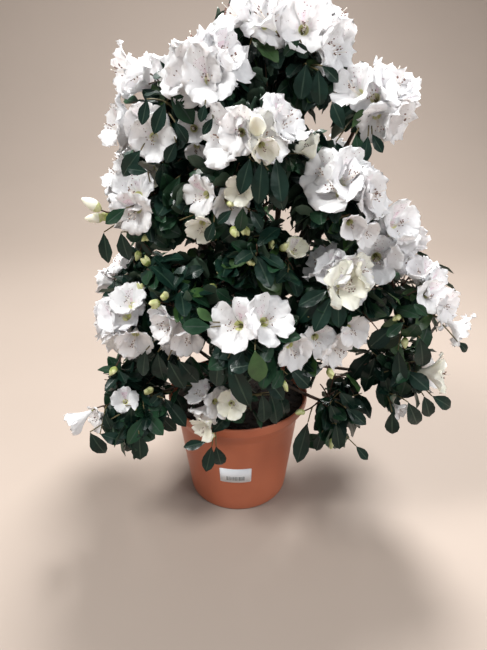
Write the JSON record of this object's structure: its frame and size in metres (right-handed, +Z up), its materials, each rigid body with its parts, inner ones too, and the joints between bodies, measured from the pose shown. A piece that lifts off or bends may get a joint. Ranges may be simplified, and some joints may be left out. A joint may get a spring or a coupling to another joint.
{
  "type": "potted flowering shrub",
  "caption": "Leafy evergreen azalea shrub in white bloom: a short trunk, arching stems, side boughs and masses of leaves and flowers, planted in a tapered round pot.",
  "frame": {"origin": "centre of the pot's flat underside", "axes": "+Z up along the pot's axis, -Y towards the pictured front (the side with the sticker), +X to the viewer's right"},
  "size_m": [0.4693, 0.4121, 0.6421],
  "materials": {
    "pot": "satin, clay-coloured",
    "soil": "dull, crumbly",
    "label": "plain matt sticker",
    "bark": "rough bark",
    "foliage": "dark leaf, glossy above",
    "petals": "soft white petal"
  },
  "bodies": {
    "root": {"pot": "pot", "soil": "soil", "label": "label", "trunk": "bark", "bough_back": "bark", "bough_back_left": "bark", "bough_back_low_left": "bark", "bough_back_low_right": "bark", "bough_back_mid": "bark", "bough_back_right": "bark", "bough_centre_low": "bark", "bough_centre_mid": "bark", "bough_crest_left": "bark", "bough_front": "bark", "bough_front_right": "bark", "bough_left": "bark", "bough_left_bottom": "bark", "bough_left_inner": "bark", "bough_left_mid": "bark", "bough_right": "bark", "bough_right_bottom": "bark", "bough_right_front": "bark", "bough_right_inner": "bark", "bough_right_mid": "bark", "bough_right_skirt": "bark", "bough_upper_left": "bark", "mass_back_left": "foliage", "mass_back_low": "foliage", "mass_back_low_left": "foliage", "mass_back_low_right": "foliage", "mass_back_mid": "foliage", "mass_back_right": "foliage", "mass_back_top": "foliage", "mass_centre_low": "foliage", "mass_centre_mid": "foliage", "mass_centre_upper": "foliage", "mass_crest_left": "foliage", "mass_crest_right": "foliage", "mass_front_centre": "foliage", "mass_front_right": "foliage", "mass_left_bottom": "foliage", "mass_left_inner": "foliage", "mass_left_low": "foliage", "mass_left_mid": "foliage", "mass_pot_front": "foliage", "mass_right_bottom": "foliage", "mass_right_front": "foliage", "mass_right_inner": "foliage", "mass_right_low": "foliage", "mass_right_mid": "foliage", "mass_right_skirt": "foliage", "mass_right_upper": "foliage", "mass_shoulder_left": "foliage", "mass_upper_left": "foliage", "stem_back": "bark", "stem_crest": "bark", "stem_front": "bark", "stem_left": "bark", "stem_right": "bark"}
  },
  "joints": []
}
